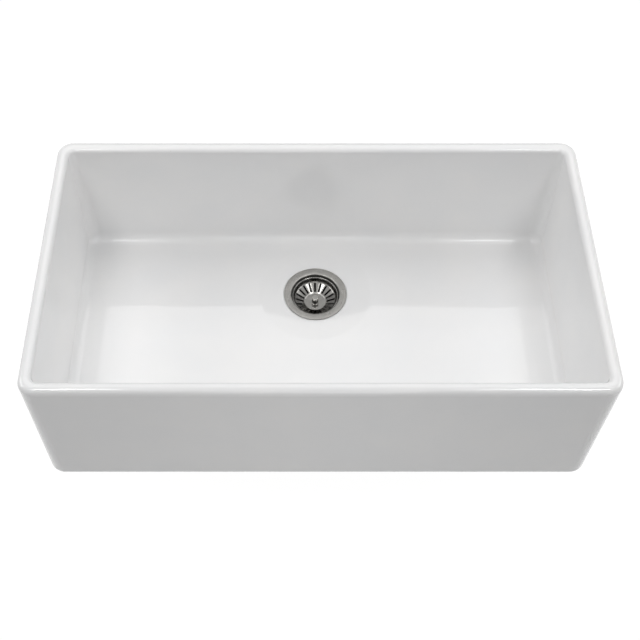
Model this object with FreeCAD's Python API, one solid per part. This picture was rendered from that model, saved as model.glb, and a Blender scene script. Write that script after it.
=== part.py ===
"""Apron-front kitchen sink in glazed fireclay, fitted with a 3 1/2 inch basket strainer.

Frame: millimetres, +Z up, +X to the right seen from the apron, the apron faces -Y.
The origin is the centre of the sink's underside, the face that the cabinet's rails carry.
Everything below z = 0 belongs to the drain fitting, which hangs through the base.
"""
import FreeCAD
import Part
import math
import os

# ---------------------------------------------------------------- sink: outside
sink_width = 838.0              # along X at the rim, 33 inches
sink_depth = 470.0              # along Y at the rim, 18 1/2 inches
sink_height = 254.0             # underside to rim, 10 inches
outer_corner_radius = 25.0      # upright corners, seen from above
outer_draft = 3.0               # how far each side leans in from rim to underside
base_edge_radius = 8.0

# ---------------------------------------------------------------- sink: bowl
wall_thickness = 19.0           # at the rim: both sides and the apron
back_wall_thickness = 22.0      # at the rim
floor_thickness = 30.0
bowl_corner_radius = 10.0       # upright corners of the bowl at the rim
bowl_foot_radius = 20.0         # the same corners where they meet the floor
bowl_draft = 2.2                # how far the bowl's walls lean in from rim to floor
floor_cove_radius = 15.0        # hollow curve between floor and walls
rim_land = 2.5                  # flat ring on top of the rim, wider over the back wall
rim_inner_radius = 6.5          # rounding from that ring into the bowl

# ---------------------------------------------------------------- sink: drain opening
drain_to_bowl_back = 123.0      # drain's centre to the bowl's back wall, at the rim
drain_hole_radius = 44.5        # 3 1/2 inch hole
drain_hole_bevel = 1.0          # at both ends of the hole
drain_dish_width = 40.0         # shallow cone that leads water to the recess
drain_dish_fall = 2.0
flange_recess_gap = 1.2         # bare glaze around the flange
flange_recess_depth = 1.2
clamp_pocket_depth = 6.0        # pocket in the underside for washers and locknut
clamp_pocket_room = 8.0         # spanner room around the locknut's lugs

# ---------------------------------------------------------------- strainer body
flange_overlap = 8.8            # flange's edge beyond the hole's edge
flange_fall = 0.6               # how much its face dips towards the mouth
flange_edge_radius = 0.5
sheet = 1.2                     # wall of the pressed cup
mouth_curl_radius = 3.0         # bend from the flange into the cup
barrel_play = 4.0               # between the hole's wall and the barrel's thread
barrel_thread_depth = 1.2
barrel_thread_pitch = 2.4
thread_flat_share = 0.2         # of a pitch, at each crest and each root
ledge_width = 2.0               # step inside the cup that carries the basket
ledge_drop = 7.6                # flange's face down to that step
cup_corner_radius = 6.0
barrel_below_locknut = 4.0      # threaded barrel left bare under the locknut

# ---------------------------------------------------------------- seals and locknut
seal_thickness = 1.0            # soft ring between flange and glaze, at the flange's edge
seal_inset = 2.0                # it stays this far inside the flange's edge
rubber_washer_thickness = 3.5
rubber_washer_overlap = 11.5    # beyond the hole's edge
friction_washer_thickness = 0.8
friction_washer_overlap = 9.5
thread_clearance = 0.2          # between a male thread and what runs on it
locknut_wall = 8.0
locknut_height = 12.0
locknut_web_thickness = 3.0     # the plain collar at its foot
locknut_web_step = 2.5          # how far the ring above it stands back
locknut_lugs = 6
locknut_lug_reach = 7.0
locknut_lug_width = 14.0
small_bevel = 0.6

# ---------------------------------------------------------------- outlet under the cup
tailpiece_radius = 19.05        # 1 1/2 inch tube
tailpiece_wall = 1.0
tailpiece_length = 101.6        # 4 inches
tailpiece_flange_width = 3.4
tailpiece_bend_radius = 1.6
outlet_flange_play = 0.5        # tailpiece flange inside the outlet's thread root
outlet_wall = 2.4
outlet_length = 27.0            # under the cup's floor
outlet_lip_width = 2.6          # ring rolled over inside the cup
outlet_lip_thickness = 0.8
outlet_shoulder_width = 3.0     # collar under the cup's floor
outlet_shoulder_height = 2.0
outlet_thread_depth = 1.0
outlet_thread_pitch = 2.2       # 11 1/2 threads to the inch
outlet_thread_length = 19.0
cross_ledge_width = 1.0         # step in the outlet's bore that carries the cross
cross_drop = 8.0                # cup's floor down to the cross
cross_height = 3.0
cross_arms = 4
cross_arm_width = 2.6
cross_hub_wall = 3.0
tailpiece_washer_thickness = 1.6
coupling_wall = 3.2
coupling_lip_thickness = 2.6    # inward lip that lifts the tailpiece's flange
coupling_engagement = 13.0      # length of thread that it takes up
coupling_ribs = 12
coupling_rib_reach = 1.6
coupling_rib_width = 5.0

# ---------------------------------------------------------------- basket
basket_sheet = 0.8
basket_rim_gap = 0.5            # between its rim and the cup's wall
basket_seat_gap = 0.3           # between its rim and the ledge
basket_bead_radius = 0.8        # rolled rim
basket_wall_gap = 0.6           # between its wall and the cup, below the ledge
basket_depth = 18.3             # rim's top down to the floor
basket_cone_height = 9.8
basket_floor_radius = 17.6
basket_bend_radius = 3.0
slot_count = 20
slot_width = 3.4
slot_floor_margin = 1.8         # floor's edge to the slots' inner ends
slot_wall_margin = 2.4          # slots' outer ends to the upright wall

# ---------------------------------------------------------------- plunger: knob, stem and stopper
stem_radius = 3.0
stem_bush_clearance = 0.3       # the stem slides in the bush
stem_hub_clearance = 0.4        # the stem's tip in the cross
stem_fit = 0.05                 # parts threaded or pushed onto the stem
bush_wall = 1.3
bush_head_width = 2.4
bush_head_thickness = 1.0
bush_length = 8.0               # head's top to the lower end
bush_washer_width = 2.0
bush_washer_thickness = 1.0
knob_rest_gap = 0.3             # between the knob's foot and the bush's head
knob_height = 11.6
knob_wall = 1.6                 # around the stem, at the waist
knob_head_reach = 0.9           # head beyond the waist
knob_head_height = 3.8
knob_foot_reach = 0.7
knob_foot_height = 1.6
knob_socket_depth = 7.4
knob_edge_radius = 0.9
knob_neck_radius = 1.0          # hollow curves at the waist
stopper_overlap = 2.5           # rubber beyond the lip that it seals on
stopper_seat_gap = 0.3
stopper_thickness = 3.5
stopper_plate_inset = 4.0
stopper_plate_thickness = 1.0
stem_collar_width = 1.8
stem_collar_height = 1.0
stopper_washer_width = 7.0
stopper_washer_thickness = 1.0
stopper_nut_wall = 1.9
stopper_nut_height = 4.0
stem_tip_length = 9.5           # below the stopper's nut
stem_tip_bevel = 1.2
plunger_stop_gap = 0.5          # left between collar and bush when the drain is open
grip_ring_section = 0.6         # radius of the ring's round section

# ---------------------------------------------------------------- places that follow: across
bowl_half_width = sink_width / 2 - wall_thickness
bowl_half_depth = (sink_depth - wall_thickness - back_wall_thickness) / 2
bowl_middle_y = (wall_thickness - back_wall_thickness) / 2
drain_y = bowl_middle_y + bowl_half_depth - drain_to_bowl_back
rim_outer_radius = wall_thickness - rim_land - rim_inner_radius
flange_radius = drain_hole_radius + flange_overlap
recess_radius = flange_radius + flange_recess_gap
barrel_crest_radius = drain_hole_radius - barrel_play
barrel_radius = barrel_crest_radius - barrel_thread_depth
lower_cup_radius = barrel_radius - sheet
cup_radius = lower_cup_radius + ledge_width
locknut_bore_radius = barrel_crest_radius + thread_clearance
locknut_radius = locknut_bore_radius + locknut_wall
clamp_pocket_radius = locknut_radius + locknut_lug_reach + clamp_pocket_room
outlet_root_radius = tailpiece_radius + tailpiece_flange_width + outlet_flange_play
outlet_crest_radius = outlet_root_radius + outlet_thread_depth
outlet_bore_radius = outlet_root_radius - outlet_wall
outlet_lip_radius = outlet_root_radius + outlet_lip_width
coupling_radius = outlet_crest_radius + thread_clearance + coupling_wall
basket_bead_centre = cup_radius - basket_rim_gap - basket_bead_radius
basket_wall_radius = lower_cup_radius - basket_wall_gap - basket_sheet
bush_bore_radius = stem_radius + stem_bush_clearance
bush_radius = bush_bore_radius + bush_wall
knob_waist_radius = stem_radius + knob_wall
knob_head_radius = knob_waist_radius + knob_head_reach
stopper_radius = outlet_lip_radius + stopper_overlap
grip_ring_radius = bush_bore_radius - grip_ring_section - stem_fit

# ---------------------------------------------------------------- places that follow: heights
dish_foot_z = floor_thickness - drain_dish_fall
flange_seat_z = dish_foot_z - flange_recess_depth
flange_under_z = flange_seat_z + seal_thickness
flange_top_z = flange_under_z + sheet
ledge_z = flange_top_z - ledge_drop
rubber_washer_z = clamp_pocket_depth - rubber_washer_thickness
friction_washer_z = rubber_washer_z - friction_washer_thickness
locknut_z = friction_washer_z - locknut_height
cup_floor_z = locknut_z - barrel_below_locknut - cup_corner_radius
outlet_end_z = cup_floor_z - outlet_length
cross_z = cup_floor_z - cross_drop - cross_height
tailpiece_top_z = outlet_end_z - tailpiece_washer_thickness
coupling_z = tailpiece_top_z - tailpiece_wall - coupling_lip_thickness
coupling_height = coupling_lip_thickness + tailpiece_wall + tailpiece_washer_thickness + coupling_engagement
basket_bead_z = ledge_z + basket_seat_gap + basket_bead_radius
basket_floor_z = basket_bead_z + basket_bead_radius - basket_depth
bush_top_z = basket_floor_z + bush_head_thickness
bush_end_z = bush_top_z - bush_length
knob_z = bush_top_z + knob_rest_gap
stopper_z = cup_floor_z + outlet_lip_thickness + stopper_seat_gap
stopper_plate_z = stopper_z + stopper_thickness
stem_collar_z = stopper_plate_z + stopper_plate_thickness
stopper_washer_z = stopper_z - stopper_washer_thickness
stopper_nut_z = stopper_washer_z - stopper_nut_height
stem_tip_z = stopper_nut_z - stem_tip_length
plunger_travel = bush_end_z - stem_collar_z - stem_collar_height - plunger_stop_gap
grip_ring_z = (bush_top_z + bush_end_z) / 2 - plunger_travel

UP = FreeCAD.Vector(0, 0, 1)
CENTRE = FreeCAD.Vector(0, 0, 0)
drain_centre = FreeCAD.Vector(0, drain_y, 0)
through = 1.0                   # how far a cutting solid reaches past what it cuts


# ---------------------------------------------------------------- drawing
def rounded_rectangle(half_x, half_y, radius, z):
    """Closed wire of four sides and four quarter arcs, centred on the origin."""
    inner_x = half_x - radius
    inner_y = half_y - radius
    diagonal = radius * math.sqrt(0.5)
    corners = []
    for sx, sy in ((1, 1), (-1, 1), (-1, -1), (1, -1)):
        on_side = FreeCAD.Vector(sx * half_x, sy * inner_y, z)
        on_end = FreeCAD.Vector(sx * inner_x, sy * half_y, z)
        middle = FreeCAD.Vector(sx * (inner_x + diagonal), sy * (inner_y + diagonal), z)
        corners.append((on_side, middle, on_end) if sx == sy else (on_end, middle, on_side))
    edges = []
    for number, (start, middle, stop) in enumerate(corners):
        following = corners[(number + 1) % len(corners)][0]
        edges.append(Part.Arc(start, middle, stop).toShape())
        edges.append(Part.LineSegment(stop, following).toShape())
    return Part.Wire(edges)


def turned(outline):
    """Solid of revolution about the Z axis.

    Each point of the closed outline is (radius, z), or (radius, z, rounding) for a rounded corner.
    """
    corners = [FreeCAD.Vector(point[0], 0, point[1]) for point in outline]
    roundings = [point[2] if len(point) > 2 else 0.0 for point in outline]
    stretches = []
    for number, corner in enumerate(corners):
        if not roundings[number]:
            stretches.append((corner, None, corner))
            continue
        to_before = (corners[number - 1] - corner).normalize()
        to_after = (corners[(number + 1) % len(corners)] - corner).normalize()
        half_angle = to_before.getAngle(to_after) / 2
        reach = roundings[number] / math.tan(half_angle)
        to_arc = roundings[number] / math.sin(half_angle) - roundings[number]
        middle = corner + (to_before + to_after).normalize() * to_arc
        stretches.append((corner + to_before * reach, middle, corner + to_after * reach))
    edges = []
    for number, (start, middle, stop) in enumerate(stretches):
        following = stretches[(number + 1) % len(stretches)][0]
        if middle:
            edges.append(Part.Arc(start, middle, stop).toShape())
        if stop.distanceToPoint(following) > 1e-6:
            edges.append(Part.LineSegment(stop, following).toShape())
    return Part.Face(Part.Wire(edges)).revolve(CENTRE, UP, 360)


def pressed(path, thickness):
    """Outline of a pressed sheet: path is its inner face, drawn from the rim towards the axis.

    The other face lies to the left of the path, and every bend keeps the sheet's thickness.
    """
    far_side = []
    for number, point in enumerate(path):
        before = path[number - 1] if number else None
        after = path[number + 1] if number + 1 < len(path) else None
        ways = []
        for first, last in ((before, point), (point, after)):
            if first and last:
                ways.append(FreeCAD.Vector(last[0] - first[0], 0, last[1] - first[1]).normalize())
        normals = [FreeCAD.Vector(-way.z, 0, way.x) for way in ways]
        bend = 0.0
        offset = normals[0] * thickness
        if len(normals) == 2:
            offset = (normals[0] + normals[1]) * (thickness / (1 + normals[0].dot(normals[1])))
            turns_left = ways[0].x * ways[1].z - ways[0].z * ways[1].x > 0
            near_bend = point[2] if len(point) > 2 else 0.0
            bend = max(near_bend - thickness, 0.0) if turns_left else near_bend + thickness
        far_side.append((point[0] + offset.x, point[1] + offset.z, bend))
    return list(path) + far_side[::-1]


def ring(inner_radius, outer_radius, z, height):
    return turned([
        (inner_radius, z), (outer_radius, z), (outer_radius, z + height), (inner_radius, z + height)])


def rod(radius, z, height):
    return Part.makeCylinder(radius, height, FreeCAD.Vector(0, 0, z))


def threaded_rod(root_radius, crest_radius, foot_z, top_z, pitch):
    """Rod with each turn of its thread drawn as one blunt V."""
    outline = [(0, foot_z), (root_radius, foot_z)]
    half_flat = pitch * thread_flat_share / 2
    for turn in range(int((top_z - foot_z) / pitch)):
        crest_z = foot_z + (turn + 0.5) * pitch
        outline.append((root_radius, crest_z - pitch / 2 + half_flat))
        outline.append((crest_radius, crest_z - half_flat))
        outline.append((crest_radius, crest_z + half_flat))
        outline.append((root_radius, crest_z + pitch / 2 - half_flat))
    outline.append((root_radius, top_z))
    outline.append((0, top_z))
    return turned(outline)


def spread(shape, count):
    """Copies of a shape evenly round the Z axis."""
    return [shape.rotated(CENTRE, UP, 360 * number / count) for number in range(count)]


def block_outwards(inner_radius, outer_radius, width, z, height):
    """Box along +X from one radius to another."""
    corner = FreeCAD.Vector(inner_radius, -width / 2, z)
    return Part.makeBox(outer_radius - inner_radius, width, height, corner)


def edges_at(shape, z):
    return [edge for edge in shape.Edges
            if abs(edge.BoundBox.ZMin - z) + abs(edge.BoundBox.ZMax - z) < 1e-3]


# ---------------------------------------------------------------- ceramic sink
def sink_block():
    """Outside of the sink, leaning in a little towards its underside."""
    foot = rounded_rectangle(
        sink_width / 2 - outer_draft, sink_depth / 2 - outer_draft, outer_corner_radius, 0)
    rim = rounded_rectangle(sink_width / 2, sink_depth / 2, outer_corner_radius, sink_height)
    block = Part.makeLoft([foot, rim], True, True)
    block = block.makeFillet(rim_outer_radius, edges_at(block, sink_height))
    return block.makeFillet(base_edge_radius, edges_at(block, 0))


def bowl_space():
    foot = rounded_rectangle(
        bowl_half_width - bowl_draft, bowl_half_depth - bowl_draft, bowl_foot_radius, floor_thickness)
    rim = rounded_rectangle(bowl_half_width, bowl_half_depth, bowl_corner_radius, sink_height)
    space = Part.makeLoft([foot, rim], True, True)
    space = space.makeFillet(floor_cove_radius, edges_at(space, floor_thickness))
    return space.translated(FreeCAD.Vector(0, bowl_middle_y, 0))


def drain_space():
    """Dish, flange recess, hole and clamping pocket, all in one turned shape."""
    dish_radius = recess_radius + drain_dish_width
    rise_per_mm = drain_dish_fall / drain_dish_width
    return turned([
        (0, floor_thickness + through),
        (dish_radius + through / rise_per_mm, floor_thickness + through),
        (recess_radius, dish_foot_z, flange_recess_depth / 3),
        (recess_radius, flange_seat_z, flange_recess_depth / 3),
        (drain_hole_radius + drain_hole_bevel, flange_seat_z),
        (drain_hole_radius, flange_seat_z - drain_hole_bevel),
        (drain_hole_radius, clamp_pocket_depth + drain_hole_bevel),
        (drain_hole_radius + drain_hole_bevel, clamp_pocket_depth),
        (clamp_pocket_radius, clamp_pocket_depth, clamp_pocket_depth / 3),
        (clamp_pocket_radius, -through),
        (0, -through),
    ])


def sink_body():
    body = sink_block().cut(bowl_space())
    mouth = [
        edge for edge in edges_at(body, sink_height)
        if abs(edge.CenterOfMass.x) < bowl_half_width + rim_land / 2
        and abs(edge.CenterOfMass.y - bowl_middle_y) < bowl_half_depth + rim_land / 2
    ]
    body = body.makeFillet(rim_inner_radius, mouth)
    return body.cut(drain_space().translated(drain_centre))


# ---------------------------------------------------------------- strainer body and its clamping
def strainer_body():
    """Flange, mouth, ledge and cup pressed from one sheet, with a thread rolled on the barrel."""
    cup = turned(pressed([
        (flange_radius, flange_top_z, flange_edge_radius),
        (cup_radius, flange_top_z - flange_fall, mouth_curl_radius),
        (cup_radius, ledge_z, sheet / 2),
        (lower_cup_radius, ledge_z, sheet / 2),
        (lower_cup_radius, cup_floor_z, cup_corner_radius),
        (outlet_root_radius, cup_floor_z),
    ], sheet))
    thread_top_z = ledge_z - 2 * sheet - ledge_width
    thread_foot_z = cup_floor_z + cup_corner_radius
    thread = threaded_rod(
        barrel_radius, barrel_crest_radius, thread_foot_z, thread_top_z, barrel_thread_pitch)
    core = rod(barrel_radius - sheet / 2, thread_foot_z, thread_top_z - thread_foot_z)
    return cup.fuse(thread.cut(core)).removeSplitter()


def flange_under_at(radius):
    """Height of the flange's underside, which dips with its face."""
    slope = flange_fall / (flange_radius - cup_radius)
    return flange_top_z - slope * (flange_radius - radius) - sheet * math.hypot(1, slope)


def flange_seal():
    """Soft ring pressed between the recess and the dipping flange."""
    inner_radius = drain_hole_radius + drain_hole_bevel
    outer_radius = flange_radius - seal_inset
    return turned([
        (inner_radius, flange_seat_z),
        (outer_radius, flange_seat_z),
        (outer_radius, flange_under_at(outer_radius)),
        (inner_radius, flange_under_at(inner_radius)),
    ])


def rubber_washer():
    outer_radius = drain_hole_radius + rubber_washer_overlap
    return ring(locknut_bore_radius, outer_radius, rubber_washer_z, rubber_washer_thickness)


def friction_washer():
    outer_radius = drain_hole_radius + friction_washer_overlap
    return ring(locknut_bore_radius, outer_radius, friction_washer_z, friction_washer_thickness)


def locknut():
    """Cast ring on a plain collar, with lugs for a spanner or a hammer and punch."""
    web_top_z = locknut_z + locknut_web_thickness
    shape = turned([
        (locknut_bore_radius + small_bevel, locknut_z),
        (locknut_radius, locknut_z, small_bevel),
        (locknut_radius, web_top_z, small_bevel),
        (locknut_radius - locknut_web_step, web_top_z, small_bevel),
        (locknut_radius - locknut_web_step, friction_washer_z, small_bevel),
        (locknut_bore_radius + small_bevel, friction_washer_z),
        (locknut_bore_radius, friction_washer_z - small_bevel),
        (locknut_bore_radius, locknut_z + small_bevel),
    ])
    lug = block_outwards(
        locknut_bore_radius + locknut_wall / 2, locknut_radius + locknut_lug_reach,
        locknut_lug_width, locknut_z, locknut_height - small_bevel)
    outer_uprights = [
        edge for edge in lug.Edges
        if edge.CenterOfMass.x > locknut_radius and abs(edge.tangentAt(edge.FirstParameter).z) > 0.5
    ]
    lug = lug.makeFillet(locknut_lug_width / 6, outer_uprights)
    return shape.fuse(spread(lug, locknut_lugs)).removeSplitter()


# ---------------------------------------------------------------- outlet under the cup
def outlet_neck():
    """Threaded spud, held in the cup's floor between a rolled lip and a collar."""
    sheet_under_z = cup_floor_z - sheet
    shoulder_z = sheet_under_z - outlet_shoulder_height
    lip_top_z = cup_floor_z + outlet_lip_thickness
    collar = turned([
        (0, shoulder_z),
        (outlet_root_radius + outlet_shoulder_width, shoulder_z, small_bevel),
        (outlet_root_radius + outlet_shoulder_width, sheet_under_z),
        (outlet_root_radius, sheet_under_z),
        (outlet_root_radius, cup_floor_z),
        (outlet_lip_radius, cup_floor_z),
        (outlet_lip_radius, lip_top_z, outlet_lip_thickness / 2),
        (0, lip_top_z),
    ])
    thread_top_z = outlet_end_z + outlet_thread_length
    plain = rod(outlet_root_radius, thread_top_z, shoulder_z - thread_top_z)
    thread = threaded_rod(
        outlet_root_radius, outlet_crest_radius, outlet_end_z, thread_top_z, outlet_thread_pitch)
    bore = turned([
        (0, outlet_end_z - through),
        (outlet_bore_radius - cross_ledge_width, outlet_end_z - through),
        (outlet_bore_radius - cross_ledge_width, cross_z),
        (outlet_bore_radius, cross_z),
        (outlet_bore_radius, lip_top_z - small_bevel),
        (outlet_bore_radius + small_bevel + through, lip_top_z + through),
        (0, lip_top_z + through),
    ])
    return collar.fuse([plain, thread]).removeSplitter().cut(bore)


def outlet_cross():
    """Four arms on the step in the outlet, round the hub that guides the stem's tip."""
    hub_bore_radius = stem_radius + stem_hub_clearance
    cross_top_z = cross_z + cross_height
    arm = block_outwards(0, outlet_bore_radius, cross_arm_width, cross_z, cross_height)
    wheel = rod(hub_bore_radius + cross_hub_wall, cross_z, cross_height).fuse(spread(arm, cross_arms))
    hub_bore = turned([
        (0, cross_z - through),
        (hub_bore_radius, cross_z - through),
        (hub_bore_radius, cross_top_z - small_bevel),
        (hub_bore_radius + small_bevel + through, cross_top_z + through),
        (0, cross_top_z + through),
    ])
    inside_outlet = rod(outlet_bore_radius - stem_fit, cross_z, cross_height)
    return wheel.removeSplitter().common(inside_outlet).cut(hub_bore)


def tailpiece_washer():
    inner_radius = tailpiece_radius - tailpiece_wall
    return ring(inner_radius, outlet_root_radius, tailpiece_top_z, tailpiece_washer_thickness)


def tailpiece():
    """Drawn tube with its top turned out into a flange."""
    inner_radius = tailpiece_radius - tailpiece_wall
    flange_edge = tailpiece_radius + tailpiece_flange_width
    return turned(pressed([
        (flange_edge, tailpiece_top_z),
        (inner_radius, tailpiece_top_z, tailpiece_wall + tailpiece_bend_radius),
        (inner_radius, tailpiece_top_z - tailpiece_length),
    ], tailpiece_wall))


def coupling_nut():
    """Ribbed slip nut whose lip pulls the tailpiece up against the outlet."""
    coupling_top_z = coupling_z + coupling_height
    blank = turned([
        (0, coupling_z),
        (coupling_radius, coupling_z, 3 * small_bevel),
        (coupling_radius, coupling_top_z, small_bevel),
        (0, coupling_top_z),
    ])
    rib = block_outwards(
        outlet_crest_radius + coupling_wall / 2, coupling_radius + coupling_rib_reach, coupling_rib_width,
        coupling_z + 3 * small_bevel, coupling_height - 4 * small_bevel)
    blank = blank.fuse(spread(rib, coupling_ribs)).removeSplitter()
    lip_top_z = coupling_z + coupling_lip_thickness
    bore = rod(outlet_crest_radius + thread_clearance, lip_top_z, coupling_top_z + through - lip_top_z)
    lip_bore_radius = tailpiece_radius + tailpiece_bend_radius + thread_clearance
    lip_bore = rod(lip_bore_radius, coupling_z - through, coupling_lip_thickness + 2 * through)
    return blank.cut([bore, lip_bore])


# ---------------------------------------------------------------- basket
def basket():
    """Pressed cup with a rolled rim and slots that run up its cone."""
    cone_top_z = basket_floor_z + basket_cone_height
    rim_face_z = basket_bead_z + basket_sheet / 2
    shell = turned(pressed([
        (basket_bead_centre, rim_face_z),
        (basket_wall_radius, rim_face_z, basket_sheet),
        (basket_wall_radius, cone_top_z, 2 * basket_bend_radius),
        (basket_floor_radius, basket_floor_z, basket_bend_radius),
        (bush_radius + stem_fit, basket_floor_z),
    ], basket_sheet))
    bead = Part.makeTorus(basket_bead_centre, basket_bead_radius, UP * basket_bead_z)
    slot_inner = basket_floor_radius + slot_floor_margin + slot_width / 2
    slot_outer = basket_wall_radius - slot_wall_margin - slot_width / 2
    slot_z = basket_floor_z - 2 * basket_sheet
    slot_height = basket_cone_height + 2 * basket_sheet
    slot_end = rod(slot_width / 2, slot_z, slot_height)
    slot = block_outwards(slot_inner, slot_outer, slot_width, slot_z, slot_height).fuse([
        slot_end.translated(FreeCAD.Vector(slot_inner, 0, 0)),
        slot_end.translated(FreeCAD.Vector(slot_outer, 0, 0)),
    ]).removeSplitter()
    return shell.fuse(bead).removeSplitter().cut(spread(slot, slot_count))


def basket_bush():
    """Sleeve through the basket's floor, in which the stem slides."""
    head_radius = bush_radius + bush_head_width
    return turned([
        (bush_bore_radius, bush_end_z),
        (bush_radius, bush_end_z, small_bevel / 2),
        (bush_radius, basket_floor_z),
        (head_radius, basket_floor_z),
        (head_radius, bush_top_z, bush_head_thickness / 2),
        (bush_bore_radius, bush_top_z, small_bevel / 2),
    ])


def bush_washer():
    """Push-on ring under the basket's floor that holds the bush."""
    washer_z = basket_floor_z - basket_sheet - bush_washer_thickness
    return ring(bush_radius + stem_fit, bush_radius + bush_washer_width, washer_z, bush_washer_thickness)


# ---------------------------------------------------------------- plunger
def knob():
    foot_radius = knob_waist_radius + knob_foot_reach
    foot_top_z = knob_z + knob_foot_height
    head_foot_z = knob_z + knob_height - knob_head_height
    socket_radius = stem_radius + stem_fit
    return turned([
        (socket_radius, knob_z),
        (foot_radius, knob_z, small_bevel / 2),
        (foot_radius, foot_top_z, small_bevel),
        (knob_waist_radius, foot_top_z + knob_foot_reach, knob_neck_radius),
        (knob_waist_radius, head_foot_z - knob_head_reach, knob_neck_radius),
        (knob_head_radius, head_foot_z, small_bevel),
        (knob_head_radius, knob_z + knob_height, knob_edge_radius),
        (0, knob_z + knob_height),
        (0, knob_z + knob_socket_depth),
        (socket_radius, knob_z + knob_socket_depth),
    ])


def stem():
    """Rod with a collar over the stopper, a groove for the grip ring and a bevelled tip."""
    groove_floor = grip_ring_radius - grip_ring_section - stem_fit
    groove_half = grip_ring_section + stem_fit
    collar_top_z = stem_collar_z + stem_collar_height
    stem_top_z = knob_z + knob_socket_depth - stem_fit
    return turned([
        (0, stem_tip_z),
        (stem_radius - stem_tip_bevel, stem_tip_z),
        (stem_radius, stem_tip_z + stem_tip_bevel),
        (stem_radius, stem_collar_z),
        (stem_radius + stem_collar_width, stem_collar_z),
        (stem_radius + stem_collar_width, collar_top_z, stem_collar_height / 3),
        (stem_radius, collar_top_z),
        (stem_radius, grip_ring_z - groove_half),
        (groove_floor, grip_ring_z - groove_half),
        (groove_floor, grip_ring_z + groove_half),
        (stem_radius, grip_ring_z + groove_half),
        (stem_radius, stem_top_z),
        (0, stem_top_z),
    ])


def grip_ring():
    return Part.makeTorus(grip_ring_radius, grip_ring_section, UP * grip_ring_z)


def stopper_plate():
    outer_radius = stopper_radius - stopper_plate_inset
    return ring(stem_radius + stem_fit, outer_radius, stopper_plate_z, stopper_plate_thickness)


def stopper():
    """Rubber disc with a rounded sealing edge."""
    return turned([
        (stem_radius + stem_fit, stopper_z),
        (stopper_radius, stopper_z, stopper_thickness / 4),
        (stopper_radius, stopper_plate_z, stopper_thickness / 4),
        (stem_radius + stem_fit, stopper_plate_z),
    ])


def stopper_washer():
    outer_radius = stem_radius + stopper_washer_width
    return ring(stem_radius + stem_fit, outer_radius, stopper_washer_z, stopper_washer_thickness)


def stopper_nut():
    """Hexagon nut under the stopper."""
    corner_reach = (stem_radius + stopper_nut_wall) / math.cos(math.radians(30))
    corners = []
    for side in range(7):
        angle = math.radians(60 * side)
        corners.append(FreeCAD.Vector(
            corner_reach * math.cos(angle), corner_reach * math.sin(angle), stopper_nut_z))
    prism = Part.Face(Part.makePolygon(corners)).extrude(UP * stopper_nut_height)
    return prism.cut(rod(stem_radius + stem_fit, stopper_nut_z, stopper_nut_height))


# ---------------------------------------------------------------- writing the pieces
drain_pieces = (
    strainer_body, flange_seal, rubber_washer, friction_washer, locknut,
    outlet_neck, outlet_cross, tailpiece_washer, tailpiece, coupling_nut,
    basket, basket_bush, bush_washer,
    knob, stem, grip_ring, stopper_plate, stopper, stopper_washer, stopper_nut,
)


def write(make, place):
    shape = make().translated(place)
    shape.exportStep(f"parts/{make.__name__}.step")
    box = shape.BoundBox
    print(f"{make.__name__:17s} valid {shape.isValid()}  solids {len(shape.Solids)}  "
          f"{shape.Volume / 1000:10.3f} cm3  z {box.ZMin:8.2f} to {box.ZMax:8.2f}")


os.makedirs("parts", exist_ok=True)
write(sink_body, CENTRE)
for piece in drain_pieces:
    write(piece, drain_centre)
print(f"drain at y {drain_y:.2f}, stopper opens by {plunger_travel:.2f} mm")
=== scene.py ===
"""Looks of the apron-front sink with its basket strainer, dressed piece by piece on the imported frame.

Metres, +Z up, the apron faces -Y, and the origin is the centre of the sink's underside.
"""
import bpy
import math
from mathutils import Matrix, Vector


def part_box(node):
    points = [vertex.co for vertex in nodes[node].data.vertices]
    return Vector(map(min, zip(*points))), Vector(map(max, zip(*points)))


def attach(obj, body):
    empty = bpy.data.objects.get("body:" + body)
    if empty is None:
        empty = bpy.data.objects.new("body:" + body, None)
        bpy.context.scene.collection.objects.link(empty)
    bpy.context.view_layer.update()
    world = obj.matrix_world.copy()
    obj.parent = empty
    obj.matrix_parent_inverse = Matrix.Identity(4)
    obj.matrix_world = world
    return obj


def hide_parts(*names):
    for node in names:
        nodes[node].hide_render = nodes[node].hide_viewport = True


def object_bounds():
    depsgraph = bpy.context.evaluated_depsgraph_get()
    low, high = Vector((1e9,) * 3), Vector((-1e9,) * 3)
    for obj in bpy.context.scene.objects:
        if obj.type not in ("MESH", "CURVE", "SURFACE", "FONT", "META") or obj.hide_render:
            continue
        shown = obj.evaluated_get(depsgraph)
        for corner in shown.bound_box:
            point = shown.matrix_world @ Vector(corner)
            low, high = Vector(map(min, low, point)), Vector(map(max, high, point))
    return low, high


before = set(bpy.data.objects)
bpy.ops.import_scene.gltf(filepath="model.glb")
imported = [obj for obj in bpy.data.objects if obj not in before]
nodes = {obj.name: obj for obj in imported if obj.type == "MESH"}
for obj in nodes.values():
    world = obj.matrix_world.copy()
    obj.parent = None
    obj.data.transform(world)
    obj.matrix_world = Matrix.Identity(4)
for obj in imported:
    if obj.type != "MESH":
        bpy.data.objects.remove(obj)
cad_low, cad_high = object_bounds()


# ---------------------------------------------------------------- sink
# One heavy casting of fireclay, sprayed with white glaze and fired once. The glaze lies a little wavy and
# holds a few pinholes. It ends at the underside, where the bare clay stood on the kiln's shelf.
glaze_white = (0.865, 0.862, 0.859, 1)
glaze_cool = (0.845, 0.847, 0.85, 1)
glaze_fleck = (0.62, 0.58, 0.52, 1)
bare_clay = (0.70, 0.62, 0.50, 1)
glaze_line_height = 0.0022
glaze_line_blur = 0.0002
glaze_roughness = (0.025, 0.055)
clay_roughness = 0.85
sway_depth = 0.0009
peel_depth = 0.000012
drain_y = (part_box("knob")[0].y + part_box("knob")[1].y) / 2


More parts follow.
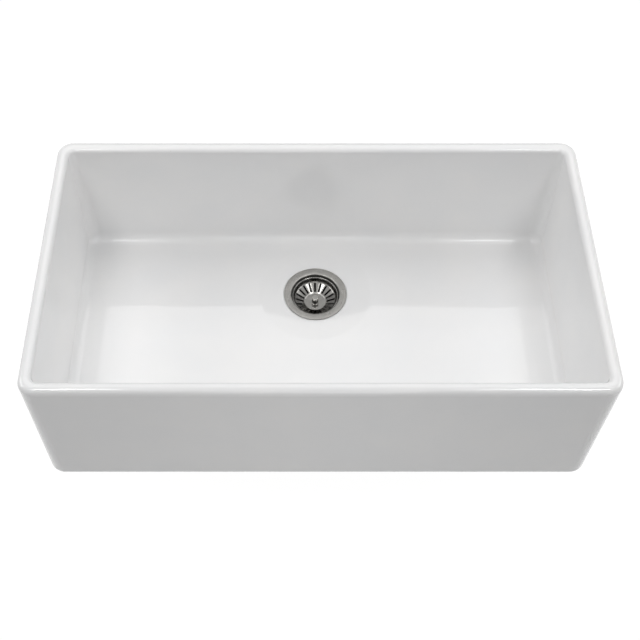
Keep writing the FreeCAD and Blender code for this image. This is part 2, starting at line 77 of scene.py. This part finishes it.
def new_finish(name):
    """A material, its node tree and its Principled shader."""
    material = bpy.data.materials.new(name)
    material.use_nodes = True
    return material, material.node_tree, material.node_tree.nodes["Principled BSDF"]


def add(tree, kind, settings=None, **inputs):
    """A shader node. Underscores in the inputs' names stand for spaces, and a socket as a value is linked."""
    made = tree.nodes.new("ShaderNode" + kind)
    for name, value in (settings or {}).items():
        setattr(made, name, value)
    for name, value in inputs.items():
        fill(tree, made.inputs[name.replace("_", " ")], value)
    return made


def fill(tree, socket, value):
    if isinstance(value, bpy.types.NodeSocket):
        tree.links.new(value, socket)
    else:
        socket.default_value = value


def blend_colours(tree, share, first, second):
    mix = add(tree, "Mix", {"data_type": "RGBA"})
    fill(tree, mix.inputs[0], share)
    fill(tree, mix.inputs[6], first)
    fill(tree, mix.inputs[7], second)
    return mix.outputs[2]


def step(tree, value, low, high, to_low=0.0, to_high=1.0):
    """Maps low..high of a value to to_low..to_high, without going past them."""
    return add(tree, "MapRange", Value=value, From_Min=low, From_Max=high,
               To_Min=to_low, To_Max=to_high).outputs["Result"]


def worked_out(tree, operation, first, second):
    """Result of arithmetic on two numbers, each a socket or a value."""
    sums = add(tree, "Math", {"operation": operation})
    fill(tree, sums.inputs[0], first)
    fill(tree, sums.inputs[1], second)
    return sums.outputs[0]


def relief(tree, height, depth, under=None):
    """Bump of a real depth in metres, laid over another bump where there is one."""
    bump = add(tree, "Bump", Strength=1.0, Distance=depth, Height=height)
    if under:
        fill(tree, bump.inputs["Normal"], under)
    return bump.outputs["Normal"]


def paint(node, material):
    node.data.materials.clear()
    node.data.materials.append(material)


fireclay, tree, shader = new_finish("fireclay_glaze")
place = add(tree, "TexCoord").outputs["Object"]
sway = add(tree, "TexNoise", Vector=place, Scale=6.0, Detail=2.0, Roughness=0.4).outputs["Fac"]
peel = add(tree, "TexNoise", Vector=place, Scale=170.0, Detail=3.0).outputs["Fac"]
clouds = add(tree, "TexNoise", Vector=place, Scale=11.0, Detail=4.0).outputs["Fac"]
pinholes = add(tree, "TexVoronoi", Vector=place, Scale=70.0, Randomness=1.0).outputs["Distance"]
pinhole = step(tree, pinholes, 0.02, 0.045, 1.0, 0.0)
chosen = step(tree, add(tree, "TexNoise", Vector=place, Scale=21.0, Detail=1.0).outputs["Fac"], 0.66, 0.68)
pinhole = worked_out(tree, "MULTIPLY", pinhole, chosen)
height = add(tree, "SeparateXYZ", Vector=place).outputs["Z"]
edge_noise = add(tree, "TexNoise", Vector=place, Scale=60.0, Detail=3.0).outputs["Fac"]
edge_level = step(tree, edge_noise, 0.3, 0.7, glaze_line_height * 0.4, glaze_line_height)
bare = step(tree, worked_out(tree, "SUBTRACT", height, edge_level), -glaze_line_blur,
            glaze_line_blur, 1.0, 0.0)
glaze_colour = blend_colours(tree, step(tree, clouds, 0.35, 0.65), glaze_white, glaze_cool)
glaze_colour = blend_colours(tree, pinhole, glaze_colour, glaze_fleck)
fill(tree, shader.inputs["Base Color"], blend_colours(tree, bare, glaze_colour, bare_clay))
gloss = step(tree, clouds, 0.3, 0.7, *glaze_roughness)
fill(tree, shader.inputs["Roughness"], step(tree, bare, 0.0, 1.0, gloss, clay_roughness))
wavy = relief(tree, sway, sway_depth)
fill(tree, shader.inputs["Normal"], relief(tree, peel, peel_depth, wavy))
shader.inputs["IOR"].default_value = 1.52
paint(nodes["sink_body"], fireclay)


# ---------------------------------------------------------------- strainer body
# Flange and cup spun from one sheet of stainless steel, with a thread rolled on the barrel. The face is
# finished on a wheel, which leaves fine rings round the drain. Below the face the cup is painted near
# black: painted shade and painted dark reflection in the drain's mouth.
cup_low, cup_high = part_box("strainer_body")
steel_tint = (1.0, 0.98, 0.935)
rings_per_metre = 2600.0
ring_break_up = 1.6
wear = 0.16
weld_distance = 0.000001
sharp_edge = math.radians(40)
cup_sizes = {
    "sheet": 0.0012, "drain y": drain_y, "steps around": 160,
    "flange radius": (cup_high.x - cup_low.x) / 2, "flange height": cup_high.z, "flange fall": 0.0006,
    "mouth radius": 0.0401, "mouth curl": 0.003,
    "ledge height": cup_high.z - 0.0076, "ledge bend": 0.0006, "cup radius": 0.0381,
    "floor height": cup_low.z + 0.0012, "floor bend": 0.006, "floor hole": 0.02295,
    "thread crest": 0.0405, "thread depth": 0.0012, "thread pitch": 0.0024,
    "thread foot": cup_low.z + 0.0072, "thread top": cup_high.z - 0.0120,
}


def rings_round_drain(tree):
    """Fine rings that run round the drain's axis and break up along their length."""
    place = add(tree, "TexCoord").outputs["Object"]
    centred = add(tree, "Mapping", Vector=place, Location=(0, -drain_y, 0)).outputs["Vector"]
    apart = add(tree, "SeparateXYZ", Vector=centred)
    flat = add(tree, "CombineXYZ", X=apart.outputs["X"], Y=apart.outputs["Y"]).outputs["Vector"]
    way = add(tree, "VectorMath", {"operation": "NORMALIZE"}, Vector=flat).outputs["Vector"]
    radius = add(tree, "VectorMath", {"operation": "LENGTH"}, Vector=flat).outputs["Value"]
    turns = worked_out(tree, "MULTIPLY", worked_out(tree, "ADD", radius, apart.outputs["Z"]), rings_per_metre)
    spread = add(tree, "VectorMath", {"operation": "SCALE"}, Vector=way, Scale=ring_break_up)
    where = add(tree, "VectorMath", {"operation": "ADD"}, Vector=spread.outputs["Vector"]).outputs["Vector"]
    fill(tree, where.node.inputs[1], add(tree, "CombineXYZ", Z=turns).outputs["Vector"])
    return add(tree, "TexNoise", Vector=where, Scale=1.0, Detail=2.0, Roughness=0.6).outputs["Fac"]


def metal(name, tint, bands, roughness, ring_depth):
    """A turned or spun metal: its colour drifts, and its roughness follows rings and finger marks.

    The bands are (height, brightness) pairs from low to high: the base colour's brightness at each height.
    On the strainer, basket and knob their steps paint shade, dark reflections and highlights by height.
    """
    material, tree, shader = new_finish(name)
    rings = rings_round_drain(tree)
    place = add(tree, "TexCoord").outputs["Object"]
    marks = add(tree, "TexNoise", Vector=place, Scale=55.0, Detail=5.0, Roughness=0.65).outputs["Fac"]
    height = add(tree, "SeparateXYZ", Vector=place).outputs["Z"]
    bottom, top = bands[0][0], bands[-1][0]
    ramp = add(tree, "ValToRGB", Fac=step(tree, height, bottom, top))
    stops = ramp.color_ramp.elements
    while len(stops) < len(bands):
        stops.new(1.0)
    for stop, (level, brightness) in zip(stops, bands):
        stop.position = (level - bottom) / (top - bottom)
        stop.color = [brightness * part for part in tint] + [1]
    worn = blend_colours(tree, wear, ramp.outputs["Color"], (0, 0, 0, 1))
    fill(tree, shader.inputs["Base Color"], blend_colours(
        tree, step(tree, marks, 0.4, 0.75), ramp.outputs["Color"], worn))
    dull = step(tree, marks, 0.35, 0.7, roughness, roughness * 1.35)
    streaked = step(tree, rings, 0.25, 0.75, 0.85, 1.2)
    fill(tree, shader.inputs["Roughness"], worked_out(tree, "MULTIPLY", dull, streaked))
    fill(tree, shader.inputs["Normal"], relief(tree, rings, ring_depth))
    shader.inputs["Metallic"].default_value = 1.0
    return material


def new_shape(name, sizes):
    """A geometry tree with a named input for each size, and the sockets of those inputs by name."""
    tree = bpy.data.node_groups.new(name, "GeometryNodeTree")
    for size, value in sizes.items():
        kind = "NodeSocketInt" if isinstance(value, int) else "NodeSocketFloat"
        tree.interface.new_socket(size, in_out="INPUT", socket_type=kind)
    tree.interface.new_socket("Geometry", in_out="OUTPUT", socket_type="NodeSocketGeometry")
    return tree, tree.nodes.new("NodeGroupInput").outputs


def grow(tree, kind, settings=None, **inputs):
    """First output of a geometry node. Underscores in the inputs' names stand for spaces."""
    made = tree.nodes.new("GeometryNode" + kind)
    for name, value in (settings or {}).items():
        setattr(made, name, value)
    for name, value in inputs.items():
        fill(tree, made.inputs[name.replace("_", " ")], value)
    return made.outputs[0]


def by_index(tree, kind, values):
    """Picks one value for each point, by the point's number."""
    switch = tree.nodes.new("GeometryNodeIndexSwitch")
    switch.data_type = kind
    while len(switch.index_switch_items) < len(values):
        switch.index_switch_items.new()
    fill(tree, switch.inputs["Index"], grow(tree, "InputIndex"))
    for number, value in enumerate(values):
        fill(tree, switch.inputs[number + 1], value)
    return switch.outputs[0]


def joined(tree, *parts):
    join = tree.nodes.new("GeometryNodeJoinGeometry")
    for part in parts:
        tree.links.new(part, join.inputs[0])
    return join.outputs[0]


def swept(tree, path, section):
    return grow(tree, "CurveToMesh", Curve=path, Profile_Curve=section)


def section_of(tree, corners, closed=False):
    """Outline through (across, up, bend) corners, its bends rounded."""
    points = grow(tree, "MeshLine", Count=len(corners))
    places = [add(tree, "CombineXYZ", X=across, Y=worked_out(tree, "MULTIPLY", up, -1.0)).outputs["Vector"]
              for across, up, bend in corners]
    placed = grow(tree, "SetPosition", Geometry=points, Position=by_index(tree, "VECTOR", places))
    line = grow(tree, "MeshToCurve", Mesh=placed)
    if closed:
        line = grow(tree, "SetSplineCyclic", Geometry=line, Cyclic=True)
    bends = by_index(tree, "FLOAT", [bend for across, up, bend in corners])
    return grow(tree, "FilletCurve", {"mode": "POLY"}, Curve=line, Radius=bends, Count=6, Limit_Radius=True)


def spun_sheet(tree, corners, sheet, steps_around):
    """A sheet spun round the Z axis. The corners are its inner face, from the rim towards the axis."""
    axis_ring = 0.001
    inward = [(worked_out(tree, "SUBTRACT", radius, axis_ring), up, bend) for radius, up, bend in corners]
    axis = grow(tree, "CurvePrimitiveCircle", Resolution=steps_around, Radius=axis_ring)
    inner_face = swept(tree, axis, section_of(tree, inward))
    outer_face = grow(tree, "ExtrudeMesh", Mesh=inner_face, Offset_Scale=sheet, Individual=False)
    both = joined(tree, outer_face, grow(tree, "FlipFaces", Mesh=inner_face))
    return grow(tree, "MergeByDistance", Geometry=both, Distance=weld_distance)


def thread(tree, crest, depth, pitch, foot, top):
    """One blunt V that climbs round the Z axis from foot to top."""
    rotations = worked_out(tree, "DIVIDE", worked_out(tree, "SUBTRACT", top, foot), pitch)
    root = worked_out(tree, "SUBTRACT", crest, depth)
    helix = grow(tree, "CurveSpiral", Resolution=72, Rotations=rotations, Start_Radius=root, End_Radius=root,
                 Height=worked_out(tree, "SUBTRACT", top, foot))
    climb = grow(tree, "SetCurveNormal", {"mode": "Z_UP"}, Curve=helix)
    foot_share = 0.4
    crest_share = 0.1
    sunk_share = 0.3
    half_foot = worked_out(tree, "MULTIPLY", pitch, foot_share)
    half_crest = worked_out(tree, "MULTIPLY", pitch, crest_share)
    sunk = worked_out(tree, "MULTIPLY", depth, sunk_share)
    raised = worked_out(tree, "MULTIPLY", depth, -1.0)
    ridge = section_of(tree, [
        (sunk, worked_out(tree, "MULTIPLY", half_foot, -1.0), 0.0),
        (raised, worked_out(tree, "MULTIPLY", half_crest, -1.0), 0.0),
        (raised, half_crest, 0.0),
        (sunk, half_foot, 0.0)], closed=True)
    wound = grow(tree, "CurveToMesh", Curve=climb, Profile_Curve=ridge, Fill_Caps=True)
    return grow(tree, "Transform", Geometry=wound,
                Translation=add(tree, "CombineXYZ", Z=foot).outputs["Vector"])


def made_piece(name, tree, geometry, sizes, finish, body):
    """Sets a geometry tree on the drain's axis, keeps its result as a plain mesh, and lets it ride a body."""
    at_drain = add(tree, "CombineXYZ", Y=tree.nodes["Group Input"].outputs["drain y"]).outputs["Vector"]
    placed = grow(tree, "Transform", Geometry=geometry, Translation=at_drain)
    whole = grow(tree, "RealizeInstances", Geometry=placed)
    finished = grow(tree, "SetMaterial", Geometry=whole, Material=finish)
    tree.links.new(finished, tree.nodes.new("NodeGroupOutput").inputs[0])
    piece = bpy.data.objects.new(name, bpy.data.meshes.new(name))
    bpy.context.scene.collection.objects.link(piece)
    modifier = piece.modifiers.new("shape", "NODES")
    modifier.node_group = tree
    for socket in tree.interface.items_tree:
        if socket.in_out == "INPUT":
            modifier[socket.identifier] = sizes[socket.name]
    graph = bpy.context.evaluated_depsgraph_get()
    piece.data = bpy.data.meshes.new_from_object(piece.evaluated_get(graph), depsgraph=graph)
    piece.modifiers.clear()
    piece.data.polygons.foreach_set("use_smooth", [True] * len(piece.data.polygons))
    piece.data.set_sharp_from_angle(angle=sharp_edge)
    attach(piece, body)
    return piece


# Below the flange's face the cup is painted near black: painted shade and painted dark reflection in the
# mouth.
satin_steel_painted_shade = metal("stainless_satin", steel_tint, [
    (cup_high.z - 0.0014, 0.085), (cup_high.z - 0.0005, 0.35)], 0.25, 0.000004)
dull_steel = metal("stainless_dull", steel_tint, [(cup_low.z, 0.26), (cup_high.z, 0.26)], 0.3, 0.000004)
for name in ("outlet_cross", "bush_washer", "stem", "stopper_plate", "stopper_washer"):
    paint(nodes[name], dull_steel)

tree, size = new_shape("spun_cup", cup_sizes)
mouth_height = worked_out(tree, "SUBTRACT", size["flange height"], size["flange fall"])
cup = spun_sheet(tree, [
    (size["flange radius"], size["flange height"], 0.0),
    (size["mouth radius"], mouth_height, size["mouth curl"]),
    (size["mouth radius"], size["ledge height"], size["ledge bend"]),
    (size["cup radius"], size["ledge height"], size["ledge bend"]),
    (size["cup radius"], size["floor height"], size["floor bend"]),
    (size["floor hole"], size["floor height"], 0.0),
], size["sheet"], size["steps around"])
barrel_thread = thread(tree, *[size["thread " + part] for part in ("crest", "depth", "pitch", "foot", "top")])
strainer = made_piece("spun_strainer", tree, joined(tree, cup, barrel_thread), cup_sizes, satin_steel_painted_shade, "sink")
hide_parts("strainer_body")


# ---------------------------------------------------------------- basket
# Pressed from thinner bright stainless sheet, with its rim rolled over and twenty slots punched up its
# cone. Its floor and the top of its rim are painted brighter than the cone, a painted reflection and
# painted highlight, and a band just under the rim is painted darker, a painted shade.
basket_low, basket_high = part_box("basket")
bead_radius = 0.0008
basket_sizes = {
    "sheet": 0.0008, "drain y": drain_y, "steps around": 160,
    "bead radius": bead_radius, "bead centre": (basket_high.x - basket_low.x) / 2 - bead_radius,
    "rim height": basket_high.z - bead_radius + 0.0004, "rim bend": 0.0008,
    "wall radius": 0.0367, "cone top": basket_low.z + 0.0106, "shoulder bend": 0.006,
    "floor radius": 0.0176, "floor height": basket_low.z + 0.0008, "floor bend": 0.003, "floor hole": 0.00465,
    "slots": 20, "slot inner end": 0.0194, "slot outer end": 0.0343, "slot width": 0.0034,
    "punch height": 0.03,
}


def punches(tree, count, inner_end, outer_end, width, height):
    """Round-ended bars that stand round the Z axis, one for each slot."""
    length = worked_out(tree, "SUBTRACT", outer_end, inner_end)
    outline = grow(tree, "CurvePrimitiveQuadrilateral", Width=length, Height=width)
    half_width = worked_out(tree, "MULTIPLY", width, 0.499)
    rounded = grow(tree, "FilletCurve", {"mode": "POLY"}, Curve=outline, Radius=half_width, Count=8)
    face = grow(tree, "FillCurve", Curve=rounded)
    risen = grow(tree, "ExtrudeMesh", Mesh=face, Offset_Scale=height, Individual=False)
    bar = grow(tree, "MergeByDistance", Distance=weld_distance,
               Geometry=joined(tree, risen, grow(tree, "FlipFaces", Mesh=face)))
    middle = worked_out(tree, "MULTIPLY", worked_out(tree, "ADD", inner_end, outer_end), 0.5)
    outwards = grow(tree, "Transform", Geometry=bar,
                    Translation=add(tree, "CombineXYZ", X=middle).outputs["Vector"])
    turn = worked_out(tree, "MULTIPLY", grow(tree, "InputIndex"), worked_out(tree, "DIVIDE", math.tau, count))
    around = grow(tree, "InstanceOnPoints", Points=grow(tree, "Points", Count=count), Instance=outwards,
                  Rotation=add(tree, "CombineXYZ", Z=turn).outputs["Vector"])
    return grow(tree, "RealizeInstances", Geometry=around)


tree, size = new_shape("slotted_basket", basket_sizes)
shell = spun_sheet(tree, [
    (size["bead centre"], size["rim height"], 0.0),
    (size["wall radius"], size["rim height"], size["rim bend"]),
    (size["wall radius"], size["cone top"], size["shoulder bend"]),
    (size["floor radius"], size["floor height"], size["floor bend"]),
    (size["floor hole"], size["floor height"], 0.0),
], size["sheet"], size["steps around"])
bars = punches(tree, size["slots"], size["slot inner end"], size["slot outer end"], size["slot width"],
               size["punch height"])
punched = tree.nodes.new("GeometryNodeMeshBoolean")
punched.solver = "EXACT"
tree.links.new(shell, punched.inputs["Mesh 1"])
tree.links.new(bars, punched.inputs["Mesh 2"])
bead_ring = grow(tree, "CurvePrimitiveCircle", Resolution=size["steps around"], Radius=size["bead centre"])
bead_wire = grow(tree, "CurvePrimitiveCircle", Resolution=16, Radius=size["bead radius"])
half_sheet = worked_out(tree, "MULTIPLY", size["sheet"], 0.5)
bead_height = worked_out(tree, "SUBTRACT", size["rim height"], half_sheet)
bead = grow(tree, "Transform", Geometry=swept(tree, bead_ring, bead_wire),
            Translation=add(tree, "CombineXYZ", Z=bead_height).outputs["Vector"])
# Floor and rim top painted brighter (painted reflection and highlight), a band under the rim painted dark
# (painted shade).
basket_steel_painted_light = metal("basket_steel_painted_light", steel_tint, [
    (basket_low.z + 0.0011, 0.41), (basket_low.z + 0.0018, 0.22), (basket_high.z - 0.0020, 0.27),
    (basket_high.z - 0.0010, 0.09), (basket_high.z - 0.0004, 0.09), (basket_high.z - 0.0001, 0.40),
], 0.15, 0.0000015)
basket = made_piece("pressed_basket", tree, joined(tree, punched.outputs["Mesh"], bead),
                    basket_sizes, basket_steel_painted_light, "basket")
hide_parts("basket")


# ---------------------------------------------------------------- bush and knob
# Both turned from stainless bar. The bush stands in the basket's floor over a push-on ring, and the knob is
# screwed on the stem. The knob's shank is painted near black under its brighter crown: painted shade and
# painted dark reflection.
knob_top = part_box("knob")[1].z
paint(nodes["basket_bush"], metal(
    "bush_steel", steel_tint, [(0.0, 0.38), (basket_high.z, 0.45)], 0.16, 0.0000015))
# The knob's shank is painted near black under its crown: painted shade and painted dark reflection.
paint(nodes["knob"], metal("knob_steel_painted_shade", steel_tint, [
    (knob_top - 0.003, 0.045), (knob_top - 0.0022, 0.50)], 0.13, 0.0000015))


# ---------------------------------------------------------------- tailpiece and its nut
# The tube is drawn from brass and flanged at its top, and the ribbed nut is turned. Both are plated with
# bright chrome, and the nut's lip lifts the tube's flange against the outlet.
tailpiece_foot_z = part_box("tailpiece")[0].z
chrome = metal("chromed_brass", (0.97, 0.985, 1.0), [(tailpiece_foot_z, 0.70), (0.0, 0.70)], 0.06, 0.0000006)
paint(nodes["tailpiece"], chrome)
paint(nodes["coupling_nut"], chrome)


# ---------------------------------------------------------------- outlet and stopper's nut
# Turned from brass bar, and left bare and a little dulled. The outlet's top is rolled into the cup's floor,
# and the nut holds the stopper on its stem.
brass = metal("bare_brass", (1.0, 0.75, 0.38), [(tailpiece_foot_z, 0.62), (0.0, 0.62)], 0.24, 0.000003)
paint(nodes["outlet_neck"], brass)
paint(nodes["stopper_nut"], brass)


# ---------------------------------------------------------------- locknut
# Cast in a die from zinc, with six lugs to turn it by, and left grey and slightly grainy. It draws the
# strainer down on the sink.
zinc_dark = (0.40, 0.41, 0.42, 1)
zinc_pale = (0.55, 0.56, 0.57, 1)
zinc_grain_depth = 0.00002
zinc, tree, shader = new_finish("cast_zinc")
place = add(tree, "TexCoord").outputs["Object"]
grain = add(tree, "TexNoise", Vector=place, Scale=900.0, Detail=4.0).outputs["Fac"]
bloom = add(tree, "TexNoise", Vector=place, Scale=70.0, Detail=4.0).outputs["Fac"]
patches = step(tree, bloom, 0.35, 0.7)
fill(tree, shader.inputs["Base Color"], blend_colours(tree, patches, zinc_dark, zinc_pale))
fill(tree, shader.inputs["Roughness"], step(tree, bloom, 0.3, 0.7, 0.42, 0.62))
fill(tree, shader.inputs["Normal"], relief(tree, grain, zinc_grain_depth))
shader.inputs["Metallic"].default_value = 1.0
paint(nodes["locknut"], zinc)


# ---------------------------------------------------------------- seals
# Moulded black rubber under the sink, on the stopper and in the stem's groove, a pale foam ring under the
# flange, a brown fibre slip ring and a white plastic washer in the tailpiece's joint.
def soft_finish(name, colour, other_colour, roughness, grain_per_metre, grain_depth):
    """A matt moulded or pressed stuff: two near colours in patches, over a fine grain."""
    material, tree, shader = new_finish(name)
    place = add(tree, "TexCoord").outputs["Object"]
    grain = add(tree, "TexNoise", Vector=place, Scale=grain_per_metre, Detail=4.0).outputs["Fac"]
    dust = add(tree, "TexNoise", Vector=place, Scale=grain_per_metre / 14, Detail=3.0).outputs["Fac"]
    patches = step(tree, dust, 0.4, 0.7)
    fill(tree, shader.inputs["Base Color"], blend_colours(tree, patches, colour, other_colour))
    fill(tree, shader.inputs["Roughness"], step(tree, dust, 0.3, 0.7, roughness * 0.85, roughness))
    fill(tree, shader.inputs["Normal"], relief(tree, grain, grain_depth))
    return material


black_rubber = soft_finish(
    "black_rubber", (0.022, 0.022, 0.023, 1), (0.05, 0.05, 0.05, 1), 0.75, 1100, 0.00002)
for name in ("rubber_washer", "stopper", "grip_ring"):
    paint(nodes[name], black_rubber)
paint(nodes["flange_seal"], soft_finish(
    "foam_seal", (0.72, 0.70, 0.64, 1), (0.60, 0.58, 0.53, 1), 0.95, 1600, 0.00006))
paint(nodes["friction_washer"], soft_finish(
    "pressed_fibre", (0.36, 0.17, 0.10, 1), (0.27, 0.13, 0.08, 1), 0.7, 700, 0.00002))
paint(nodes["tailpiece_washer"], soft_finish(
    "white_plastic", (0.82, 0.82, 0.80, 1), (0.76, 0.76, 0.73, 1), 0.45, 400, 0.000008))


# ---------------------------------------------------------------- floor
# A plain pale floor just under the lowest point of the drain. It shows white to the camera, to metal and to
# glaze, and keeps a faint shadow of the sink.
floor_z = cad_low.z - 0.001
floor_half = 12.0
shadow_share = 0.06
floor_glow = 1.05
bpy.ops.mesh.primitive_plane_add(size=2 * floor_half, location=(0, 0, floor_z))
floor = bpy.context.object
floor.name = "studio_floor"


def white_to_the_eye(tree):
    """1 for camera, glossy and transmission rays, 0 for the rest."""
    rays = add(tree, "LightPath").outputs
    seen = worked_out(tree, "MAXIMUM", rays["Is Camera Ray"], rays["Is Glossy Ray"])
    return worked_out(tree, "MAXIMUM", seen, rays["Is Transmission Ray"])


floor_paint = bpy.data.materials.new("studio_floor")
floor_paint.use_nodes = True
tree = floor_paint.node_tree
tree.nodes.remove(tree.nodes["Principled BSDF"])
matt = add(tree, "BsdfDiffuse", Color=(0.8, 0.8, 0.8, 1)).outputs[0]
white = add(tree, "Emission", Color=(1, 1, 1, 1), Strength=floor_glow).outputs[0]
share = worked_out(tree, "MULTIPLY", white_to_the_eye(tree), 1 - shadow_share)
mixed = add(tree, "MixShader", Fac=share)
tree.links.new(matt, mixed.inputs[1])
tree.links.new(white, mixed.inputs[2])
tree.links.new(mixed.outputs[0], tree.nodes["Material Output"].inputs["Surface"])
floor.data.materials.append(floor_paint)


# ---------------------------------------------------------------- studio light
# A wide soft box over the sink's back, brighter in its middle, one high on each side of the camera and one
# low on each side of the sink. Two small ones light the apron's middle, and a pale room fills in the rest.
room_light = 0.06


def soft_box(name, place, aim, size, radiance):
    """A rectangular lamp that faces its aim, in watts per square metre and steradian."""
    data = bpy.data.lights.new(name, "AREA")
    data.shape = "RECTANGLE"
    data.size, data.size_y = size
    data.energy = radiance * math.pi * size[0] * size[1]
    lamp = bpy.data.objects.new(name, data)
    bpy.context.scene.collection.objects.link(lamp)
    lamp.location = place
    way = lamp.location.copy()
    way.x, way.y, way.z = aim[0] - place[0], aim[1] - place[1], aim[2] - place[2]
    lamp.rotation_euler = way.to_track_quat("-Z", "Y").to_euler()
    return lamp


soft_box("overhead", (0, 1.15, 2.1), (0, 0.05, 0.1), (2.6, 1.3), 1.2)
soft_box("overhead_middle", (0, 1.15, 2.1), (0, 0.05, 0.1), (1.0, 1.3), 2.3)
soft_box("low_front", (0, -1.05, 0.8), (0, 0.1, 0.15), (0.5, 0.3), 2.6)
soft_box("apron_middle", (0, -0.62, 0.12), (0, -0.235, 0.12), (0.25, 0.15), 0.8)
for side in (-1, 1):
    soft_box("front", (side * 0.95, -0.75, 2.4), (0, 0.1, 0.15), (0.5, 0.8), 10.0)
    soft_box("side", (side * 1.7, 0.1, 0.95), (0, 0, 0.15), (1.0, 0.8), 3.35)

world = bpy.data.worlds.new("studio")
bpy.context.scene.world = world
world.use_nodes = True
tree = world.node_tree
background = tree.nodes["Background"]
background.inputs["Color"].default_value = (1, 1, 1, 1)
fill(tree, background.inputs["Strength"], step(tree, white_to_the_eye(tree), 0.0, 1.0, room_light, 1.0))
bpy.context.scene.view_settings.view_transform = "Standard"


# ---------------------------------------------------------------- camera
# Above and in front of the apron, a little left of the middle, looking steeply down into the bowl. Its lens
# and shifts come from a pinhole camera fitted to the sink's outline.
camera_data = bpy.data.cameras.new("camera")
camera_data.lens = 59.93
camera_data.sensor_width = 36.0
camera_data.shift_x = 0.0404
camera_data.shift_y = -0.0747
camera_data.dof.use_dof = False
camera = bpy.data.objects.new("camera", camera_data)
bpy.context.scene.collection.objects.link(camera)
camera.location = (-0.0363, -0.9619, 1.5211)
camera.rotation_euler = (math.radians(36.33), 0, 0)
bpy.context.scene.camera = camera
